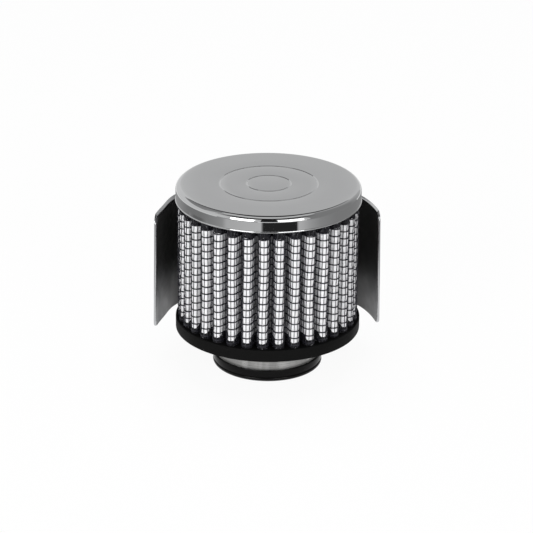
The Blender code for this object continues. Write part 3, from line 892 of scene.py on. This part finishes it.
class BREATHER_OT_screens(bpy.types.Operator):
    """Make the folded wire screens on both sides of the cloth"""

    bl_idname = "breather.screens"
    bl_label = "Wire screens"

    def execute(self, context):
        s = context.scene.breather_screen
        pleats = Pleats(context.scene.breather_pleats)
        outer = pleats.outer(s.offset, s.offset)
        inner = pleats.inner(s.offset)
        heights = hoop_heights(s)[0]
        wire = s.hoop_wire / 2
        low = CLOTH_FOOT_Z - s.hidden_foot
        high = CAP_SKIRT_Z + s.hidden_top
        crest = pleats.sizes.front + (pleats.sizes.count // 2) * pleats.pitch
        outer_r = pleats.sizes.crest_radius + s.offset + s.seam_sheet / 2
        inner_r = pleats.sizes.inner_radius - s.offset - s.seam_sheet / 2
        fold = crest + pleats.pitch / 2
        meshes = [
            hoops_mesh("outer_hoops", pleats, outer, heights, wire, points_in_pleat=24, sides=5),
            uprights_mesh("outer_uprights", pleats, outer, s, low, high, steps=48, weave=s.weave),
            hoops_mesh("inner_hoops", pleats, inner, heights, wire, points_in_pleat=16, sides=4),
            uprights_mesh("inner_uprights", pleats, inner, s, CLOTH_FOOT_Z, CLOTH_TOP_Z, steps=12, weave=0.0),
            seam_mesh("outer_seam", pleats, crest, outer_r, s, low, high),
            seam_mesh("inner_seam", pleats, fold, inner_r, s, CLOTH_FOOT_Z, CLOTH_TOP_Z),
        ]
        coat = screen_wire(context.scene.breather_finishes)
        for mesh in meshes:
            side = mesh.name.split("_")[0]
            new_piece(mesh, [side + "_screen"], [coat])
        return {"FINISHED"}


class BREATHER_OT_potting(bpy.types.Operator):
    """Make the black urethane in the cap and the potted pleat ends at the top and the foot"""

    bl_idname = "breather.potting"
    bl_label = "Potted ends"

    def ends(self, context, name, node, slot, hidden, edge, rise, made):
        """Urethane round the pleats, from a hidden height to its ragged edge on the cloth.

        The rise is the part of the climb that its edge follows into the folds."""
        s = context.scene.breather_moulds
        p = context.scene.breather_pleats
        pleats = Pleats(p)
        count = p.count * p.steps
        wires = context.scene.breather_screen.offset
        outer = resample(pleats.outer(wires, wires), count)
        cloth = resample(pleats.outer(-s.sunk), count)
        inner = resample(pleats.inner(wires), count)
        crest = p.crest_radius + wires + 0.1 * MM
        deep = 1.0 - soft_step(np.hypot(outer[:, 0], outer[:, 1]), crest - s.climb_depth, crest)
        flat = pleats.place(outer, edge)
        line = edge + rise * s.climb * deep
        line += rough(flat, EDGE_NOISE, s.ragged) + rough(flat, FINE_EDGE_NOISE, s.ragged / 2)
        rows = []
        for t in (0.0, 0.35, 0.6, 0.8, 0.9, 0.96, 1.0):
            edge_in = soft_step(t, 0.75, 1.0)
            points = pleats.place(outer * (1.0 - edge_in) + cloth * edge_in, hidden + (line - hidden) * t)
            rows.append(points + plan_normals(points) * rough(points, FACE_NOISE, s.lumps)[:, None])
        rows.append(pleats.place(inner, edge))
        rows.append(pleats.place(inner, hidden))
        new_piece(ring_rows(name, rows), [node], [made])

    def execute(self, context):
        s = context.scene.breather_moulds
        made = potting_urethane(context.scene.breather_finishes)
        fillet = context.scene.breather_cap.fillet
        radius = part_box("top_potting")[1].x
        profile = [(0.0, POTTING_TOP_Z)]
        profile += arc(radius - fillet, POTTING_TOP_Z - fillet, fillet, 90, 0, 4)
        profile += arc(radius - s.disc_edge, CAP_SKIRT_Z + s.disc_edge, s.disc_edge, 0, -90, 3)
        profile.append((0.0, CAP_SKIRT_Z))
        disc = lathe("top_potting_disc", profile, ROUND_SEGMENTS // 2)
        new_piece(disc, ["top_potting"], [made])
        self.ends(
            context, "top_pleat_ends", "top_potting", "potting_urethane",
            CAP_SKIRT_Z + s.disc_edge, POTTED_TOP_Z - s.creep, -0.2, made,
        )
        base_top = BASE_LOW_Z + s.hub_height + s.base_height
        self.ends(
            context, "foot_pleat_ends", "base_ring", "base_urethane",
            base_top - s.foot_overlap, POTTED_FOOT_Z + s.foot_rise + s.creep, 1.0, made,
        )
        return {"FINISHED"}


class BREATHER_OT_base(bpy.types.Operator):
    """Make the moulded base ring with its low hub"""

    bl_idname = "breather.base"
    bl_label = "Base ring"

    def execute(self, context):
        s = context.scene.breather_moulds
        neck = context.scene.breather_neck
        edge = s.edge
        small = edge / 2
        low = BASE_LOW_Z + s.hub_height
        high = low + s.base_height
        outer = s.pack_radius + s.cover
        bore = neck.radius + neck.gap
        hub = bore + s.hub_width
        profile = [(bore, high)]
        profile += arc(outer - edge, high - edge, edge, 90, 0, 6)
        profile += arc(outer - edge, low + edge, edge, 0, -90, 6)
        profile += arc(hub + small, low - small, small, 90, 180, 4)
        profile += arc(hub - small, BASE_LOW_Z + small, small, 0, -90, 4)
        profile.append((bore, BASE_LOW_Z))
        made = rubber("base_urethane", context.scene.breather_finishes.urethane, 0.05, 0.6, 900.0)
        new_piece(lathe("base", profile), ["base_ring"], [made])
        return {"FINISHED"}


class BREATHER_OT_neck(bpy.types.Operator):
    """Make the flanged and beaded steel neck"""

    bl_idname = "breather.neck"
    bl_label = "Neck"

    def execute(self, context):
        s = context.scene.breather_neck
        inner = s.radius - s.wall
        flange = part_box("neck")[1].x
        flange_z = NECK_TOP_Z - s.wall
        edge = s.wall / 3
        half = s.wall / 2
        profile = [(inner, NECK_TOP_Z)]
        profile += arc(flange - half, NECK_TOP_Z - half, half, 90, -90, 8)
        profile += arc(s.radius + edge, flange_z - edge, edge, 90, 180, 4)
        profile += arc(s.radius, s.bead_height, s.bead, 90, -90, 14)
        profile += arc(s.radius - edge, NECK_FOOT_Z + edge, edge, 0, -90, 4)
        profile += arc(inner + edge, NECK_FOOT_Z + edge, edge, -90, -180, 4)
        profile += arc(inner, s.bead_height, s.bead - half, -90, 90, 10)
        made = neck_steel(context.scene.breather_finishes)
        new_piece(lathe("neck_tube", profile), ["neck"], [made])
        return {"FINISHED"}


class BREATHER_OT_grommet(bpy.types.Operator):
    """Make the slotted rubber grommet"""

    bl_idname = "breather.grommet"
    bl_label = "Grommet"

    def execute(self, context):
        s = context.scene.breather_neck
        soft = s.soft_edge
        soft_z = GROMMET_TOP_Z - soft
        outer = s.radius + s.gap + s.lip
        seat = s.radius + s.squeeze
        slot = s.radius - s.wall - s.squeeze
        groove_r = outer - s.groove
        groove_top = s.groove_height + s.groove_width / 2
        groove_foot = s.groove_height - s.groove_width / 2
        shoulder = s.foot_shoulder
        profile = arc(s.bore + soft, soft_z, soft, 180, 90, 4)
        profile += arc(slot - soft, soft_z, soft, 90, 0, 4)
        profile += [(slot, s.floor), (seat, s.floor)]
        profile += arc(seat + soft, soft_z, soft, 180, 90, 4)
        profile += arc(outer - soft, soft_z, soft, 90, 0, 4)
        profile += arc(outer - soft, groove_top + soft, soft, 0, -90, 4)
        profile += [(groove_r, groove_top), (groove_r, groove_foot)]
        profile += arc(outer - shoulder, groove_foot - shoulder, shoulder, 90, 0, 6)
        for r, z in arc(0.0, 0.0, 1.0, 0, -90, 12):
            profile.append((outer - s.foot_wide * (1.0 - r), s.foot_round * (1.0 + z)))
        profile += arc(s.bore + soft, soft, soft, -90, -180, 4)
        made = rubber("grommet_rubber", context.scene.breather_finishes.rubber, 0.09, 0.18, 700.0)
        new_piece(lathe("grommet_ring", profile), ["grommet"], [made])
        return {"FINISHED"}


class BREATHER_OT_shield(bpy.types.Operator):
    """Make the bent shield wall with its rounded corners, and the tongue and plate at its foot"""

    bl_idname = "breather.shield"
    bl_label = "Shield"

    def wall(self, s):
        """The bent wall, with rounded corners and cut edges, and how many polygons its inner face has.

        Those polygons are the mesh's last ones."""
        start = -s.left * s.inner_radius
        end = s.right * s.inner_radius
        quarter = 1.0 - np.cos(np.radians(np.linspace(0, 90, 11)))
        loops = []
        for t, inset in self.rim(s):
            corner = s.corner - inset
            left = start + inset + corner * quarter
            right = end - inset - corner * quarter[::-1]
            between = np.linspace(left[-1], right[0], s.segments + 1)[1:-1]
            along = np.concatenate((left, between, right))
            to_edge = np.minimum(along - start, end - along) - inset
            into = np.clip(corner - to_edge, 0.0, corner)
            cut = corner - np.sqrt(np.maximum(corner ** 2 - into ** 2, 0.0)) + inset
            bevel = np.interp(along, (start / 2, end / 2), (s.bevel_left, s.bevel_right))
            low = self.bend(s, along, SHIELD_FOOT_Z + cut, t)
            high = self.bend(s, along, SHIELD_TOP_Z - cut - bevel * (1.0 - t / s.sheet), t)
            loops.append(np.vstack((low, high[::-1])))
        size = len(loops[0])
        last = (len(loops) - 1) * size
        faces = [band(a, a + size, size) for a in range(0, last, size)]
        j = np.arange(len(along) - 1)
        for a in (0, last):
            faces.append(np.column_stack((a + j, a + j + 1, a + size - 2 - j, a + size - 1 - j)))
        return mesh_of("shield_wall", np.vstack(loops), np.vstack(faces)), len(j)

    def rim(self, s):
        """Depths through the sheet and insets of the rings that round its cut edge."""
        turned = np.radians(np.linspace(0, 90, 5))
        half = [(s.sheet - s.edge + s.edge * math.cos(a), s.edge * (1 - math.sin(a))) for a in turned]
        return half + [(s.sheet - t, inset) for t, inset in reversed(half)]

    def bend(self, s, along, height, depth):
        """Points of the sheet on its bent form. The depth is measured from the inner face."""
        flare = s.flare * (0.5 - (height - SHIELD_FOOT_Z) / (SHIELD_TOP_Z - SHIELD_FOOT_Z))
        angle = along / s.inner_radius
        wing = np.clip((np.abs(angle) - s.wing_start) / s.wing_span, 0.0, 1.0)
        hollow = np.where(angle < 0.0, s.left_hollow, s.right_hollow) * np.sin(math.pi * wing) ** 2
        centre = np.array((s.side_shift, s.set_back))
        return np.column_stack((centre + behind(s.inner_radius + depth + flare - hollow, angle), height))

    def foot(self, s, neck):
        """The ring plate and the tongue, as one flat sheet with rounded edges."""
        bore = neck.radius + neck.gap
        plate = bore + s.plate_width
        half = s.tongue_width / 2
        wall = s.inner_radius + s.sheet / 2
        reach = math.asin(half / wall)
        join = math.asin((half + s.tongue_spread) / plate)
        end = np.array((s.side_shift, s.set_back)) + behind(wall, np.linspace(-reach, reach, 13))
        side_end = np.array((half, end[-1][1] - s.tongue_straight))
        ring_start = behind(plate, join)
        knee = np.array((half, ring_start[1] + s.tongue_knee))
        t = np.linspace(0.0, 1.0, 7)[:-1, None]
        side = (1 - t) ** 2 * side_end + 2 * t * (1 - t) * knee + t ** 2 * ring_start
        ring = behind(plate, np.linspace(join, math.tau - join, 73))
        hole = behind(bore, np.linspace(0.0, math.tau, 97)[:-1])
        bm = bmesh.new()
        edges = []
        for line in (np.vstack((end, side, ring, side[::-1] * (-1, 1))), hole):
            points = [bm.verts.new((x, y, s.plate_foot)) for x, y in line]
            edges += [bm.edges.new((a, b)) for a, b in zip(points, points[1:] + points[:1])]
        bmesh.ops.triangle_fill(bm, use_beauty=True, use_dissolve=False, edges=edges)
        made = bmesh.ops.extrude_face_region(bm, geom=list(bm.faces))
        top = [v for v in made["geom"] if isinstance(v, bmesh.types.BMVert)]
        bmesh.ops.translate(bm, verts=top, vec=(0.0, 0.0, s.sheet))
        bmesh.ops.recalc_face_normals(bm, faces=bm.faces)
        sharp = [e for e in bm.edges if e.calc_face_angle(0.0) > math.radians(60)]
        bmesh.ops.bevel(
            bm, geom=sharp, offset=s.edge * 0.6, offset_type="OFFSET", segments=3, profile=0.5,
            affect="EDGES", clamp_overlap=True,
        )
        return mesh_from("shield_foot", bm)

    def execute(self, context):
        s = context.scene.breather_shield
        chrome = shield_chrome(context.scene.breather_finishes)
        coat = shield_coat(context.scene.breather_finishes)
        wall, coated = self.wall(s)
        for face in wall.polygons[-coated:]:
            face.material_index = 1
        new_piece(wall, ["shield"], [chrome, coat])
        foot = self.foot(s, context.scene.breather_neck)
        new_piece(foot, ["shield"], [chrome])
        return {"FINISHED"}


# Azimuth and elevation in degrees, distance and size in metres, watts, and whether gloss shows the lamp
SOFTBOXES = (
    ("left_softbox", -31.5, 14, 1.3, (0.65, 0.8), 10.0, True),
    ("right_softbox", 27.5, 12, 1.3, (0.7, 0.8), 7.5, True),
    ("overhead_softbox", 180, 78, 1.2, (0.8, 0.8), 7.0, False),
)

# Distance in metres, azimuths and elevations of the edges in degrees, and levels over the card's width
CARDS = (
    ("back_card", 0.9, (100, 250), (5, 34), (
        (0.0, 0.86), (0.473, 0.76), (0.507, 0.67), (0.56, 0.68), (0.593, 0.88), (1.0, 0.92),
    )),
    ("back_gap", 0.9, (150, 210), (34, 75), ((0.0, 0.4), (0.2, 0.05), (0.8, 0.05), (1.0, 0.4))),
    ("front_gap", 0.86, (-80, 80), (42, 65), ((0.0, 0.4), (0.2, 0.02), (0.8, 0.02), (1.0, 0.4))),
    ("left_shade", 0.88, (210, 270), (31, 62), ((0.0, 0.3), (1.0, 0.4))),
    ("left_glow", 0.9, (-110, -50), (3, 30), ((0.0, 0.88), (1.0, 0.88))),
    ("right_shade", 0.87, (50, 150), (-4, 62), ((0.0, 0.33), (0.65, 0.33), (0.9, 0.55), (1.0, 0.65))),
    ("camera_side", 0.9, (-9, 11), (-15, 42), ((0.0, 0.02), (1.0, 0.02))),
)

# Height, azimuths, first and last radius of the near and of the far edge, and levels round the filter
FLOOR_CARDS = (
    ("floor_shades", 0.001, (-180, 180), ((0.11, 0.11), (0.3, 0.3)), (
        (0.0, 0.35), (0.139, 0.39), (0.2, 0.3), (0.262, 0.3), (0.324, 0.4), (0.35, 0.46),
        (0.366, 0.7), (0.478, 0.78), (0.482, 0.03), (0.591, 0.03), (0.595, 0.76), (0.61, 0.7),
        (0.636, 0.54), (0.673, 0.4), (0.734, 0.335), (0.85, 0.32), (1.0, 0.3),
    )),
    ("left_rim", 0.001, (-62, -12), ((0.3, 0.3), (1.0, 1.0)), ((0.0, 0.45), (1.0, 0.45))),
    ("right_rim", 0.001, (45, 130), ((0.3, 0.3), (0.86, 0.86)), ((0.0, 0.36), (1.0, 0.34))),
    ("floor_band", 0.002, (-106, -74), ((0.198, 0.203), (0.213, 0.219)), (
        (0.0, 0.4), (0.3, 0.2), (0.7, 0.2), (1.0, 0.4),
    )),
)


class BREATHER_OT_stage(bpy.types.Operator):
    """Set up the pale floor, the studio lamps and the camera"""

    bl_idname = "breather.stage"
    bl_label = "Stage"

    def camera(self, context):
        """The camera at the photograph's viewing angle."""
        s = context.scene.breather_stage
        data = bpy.data.cameras.new("camera")
        data.lens = s.lens
        data.sensor_width = 36.0
        camera = bpy.data.objects.new("camera", data)
        back = Vector((0.0, -math.cos(s.elevation), math.sin(s.elevation)))
        camera.location = Vector((s.target_x, 0.0, s.target_z)) + back * s.distance
        camera.rotation_euler = back.to_track_quat("Z", "Y").to_euler()
        camera.rotation_euler.rotate_axis("Z", s.roll)
        context.scene.collection.objects.link(camera)
        context.scene.camera = camera

    def away(self, azimuth, elevation):
        """The direction at an azimuth and an elevation in degrees. Azimuth 0 is in front, 90 to the right."""
        a, e = math.radians(azimuth), math.radians(elevation)
        return Vector((math.sin(a) * math.cos(e), -math.cos(a) * math.cos(e), math.sin(e)))

    def lamp(self, context, name, azimuth, elevation, distance, size, power, mirrored):
        """A softbox that faces the filter, and that polished metal shows or doesn't show."""
        data = bpy.data.lights.new(name, "AREA")
        data.shape = "RECTANGLE"
        data.size, data.size_y = size
        data.energy = power
        lamp = bpy.data.objects.new(name, data)
        away = self.away(azimuth, elevation)
        lamp.location = Vector((0.0, 0.0, context.scene.breather_stage.lamp_aim)) + away * distance
        lamp.rotation_euler = away.to_track_quat("Z", "Y").to_euler()
        lamp.visible_glossy = mirrored
        context.scene.collection.objects.link(lamp)

    def card(self, context, name, distance, azimuths, elevations, levels):
        """A curved card round the filter."""
        centre = Vector((0.0, 0.0, context.scene.breather_stage.card_centre))
        rows = [
            [centre + self.away(a, e) * distance for a in np.linspace(*azimuths, 13)]
            for e in np.linspace(*elevations, 9)
        ]
        self.add_card(context, name, rows, azimuths, levels)

    def floor_card(self, context, name, height, azimuths, radii, levels):
        """A flat card just above the floor, between two arcs round the filter."""
        up = Vector((0.0, 0.0, height))
        turns = np.linspace(*azimuths, 73)
        rows = [
            [self.away(a, 0.0) * r + up for a, r in zip(turns, np.linspace(*ends, 73))]
            for ends in radii
        ]
        self.add_card(context, name, rows, azimuths, levels)

    def add_card(self, context, name, rows, azimuths, levels):
        """Link a card that only gloss shows. Its glow changes from level to level round the filter."""
        width = len(rows[0])
        quads = [
            (a + k, a + k + 1, a + width + k + 1, a + width + k)
            for a in range(0, width * (len(rows) - 1), width) for k in range(width - 1)
        ]
        mesh = bpy.data.meshes.new(name)
        mesh.from_pydata([point for row in rows for point in row], [], quads)
        n = Finish(name)
        n.nodes.remove(n.shader)
        round_z = n.maths("ARCTAN2", n.axis("X"), n.maths("MULTIPLY", n.axis("Y"), -1.0))
        middle = math.radians(sum(azimuths) / 2)
        half = math.radians(azimuths[1] - azimuths[0]) / 2
        round_z = n.maths("WRAP", n.maths("SUBTRACT", round_z, middle), math.pi, -math.pi)
        ramp = n.add("ShaderNodeValToRGB")
        n.feed(ramp.inputs[0], n.fit(round_z, -half, half, 0.0, 1.0, "LINEAR"))
        stops = ramp.color_ramp.elements
        stops.remove(stops[1])
        for place, level in levels:
            stops.new(place).color = (level, level, level, 1.0)
        stops.remove(stops[0])
        glow = n.add("ShaderNodeEmission")
        n.feed(glow.inputs["Color"], ramp.outputs[0])
        n.feed(n.nodes["Material Output"].inputs["Surface"], glow.outputs[0])
        mesh.materials.append(n.owner)
        card = bpy.data.objects.new(name, mesh)
        for kind in ("camera", "diffuse", "transmission", "shadow", "volume_scatter"):
            setattr(card, "visible_" + kind, False)
        context.scene.collection.objects.link(card)

    def floor(self, context):
        """A wide pale floor that keeps a faint shadow."""
        s = context.scene.breather_stage
        bm = bmesh.new()
        bmesh.ops.create_grid(bm, x_segments=4, y_segments=4, size=s.floor_reach)
        mesh = mesh_from("floor", bm)
        n = Finish("floor")
        n.look(Base_Color=(s.paper, s.paper, s.paper), Roughness=1.0, Specular_IOR_Level=0.0)
        plain = n.maths("MULTIPLY", n.seen_rays(), s.floor_glow)
        white = n.add("ShaderNodeEmission")
        n.show_mix("Material Output", plain, n.shader.outputs[0], white.outputs[0])
        mesh.materials.append(n.owner)
        floor = bpy.data.objects.new("floor", mesh)
        floor.location.z = -s.floor_drop
        context.scene.collection.objects.link(floor)

    def world(self, context):
        """A white room whose light on the filter stays plain."""
        n = Tree(bpy.data.worlds.new("studio"))
        context.scene.world = n.owner
        soft = n.nodes["Background"]
        n.feed(soft.inputs["Color"], (1.0, 1.0, 1.0))
        n.feed(soft.inputs["Strength"], context.scene.breather_stage.room)
        seen = n.add("ShaderNodeBackground")
        n.feed(seen.inputs["Strength"], 1.0)
        n.show_mix("World Output", n.seen_rays(), soft.outputs[0], seen.outputs[0])

    def execute(self, context):
        context.scene.view_settings.view_transform = "Standard"
        self.camera(context)
        self.world(context)
        self.floor(context)
        for softbox in SOFTBOXES:
            self.lamp(context, *softbox)
        for card in CARDS:
            self.card(context, *card)
        for card in FLOOR_CARDS:
            self.floor_card(context, *card)
        return {"FINISHED"}


class BREATHER_PT_pieces(bpy.types.Panel):
    """Buttons for the filter's pieces, and the sizes and colours they are made from."""

    bl_idname = "BREATHER_PT_pieces"
    bl_label = "Breather filter"
    bl_space_type = "VIEW_3D"
    bl_region_type = "UI"
    bl_category = "Breather"

    def draw(self, context):
        for maker in MAKERS:
            self.layout.operator(maker.bl_idname)
        for name, group in PIECE_GROUPS.items():
            box = self.layout.box()
            box.label(text=group.bl_rna.name)
            settings = getattr(context.scene, name)
            for key in group.__annotations__:
                box.prop(settings, key)


MAKERS = (
    BREATHER_OT_cap,
    BREATHER_OT_potting,
    BREATHER_OT_cloth,
    BREATHER_OT_screens,
    BREATHER_OT_base,
    BREATHER_OT_neck,
    BREATHER_OT_grommet,
    BREATHER_OT_shield,
    BREATHER_OT_stage,
)


def register():
    """Add the property groups, operators and panel."""
    for name, group in PIECE_GROUPS.items():
        bpy.utils.register_class(group)
        setattr(bpy.types.Scene, name, PointerProperty(type=group))
    for maker in MAKERS:
        bpy.utils.register_class(maker)
    bpy.utils.register_class(BREATHER_PT_pieces)


def unregister():
    """Take them away again."""
    bpy.utils.unregister_class(BREATHER_PT_pieces)
    for maker in reversed(MAKERS):
        bpy.utils.unregister_class(maker)
    for name, group in PIECE_GROUPS.items():
        delattr(bpy.types.Scene, name)
        bpy.utils.unregister_class(group)


def main():
    register()
    for maker in MAKERS:
        family, piece = maker.bl_idname.split(".")
        getattr(getattr(bpy.ops, family), piece)()


if __name__ == "__main__":
    main()
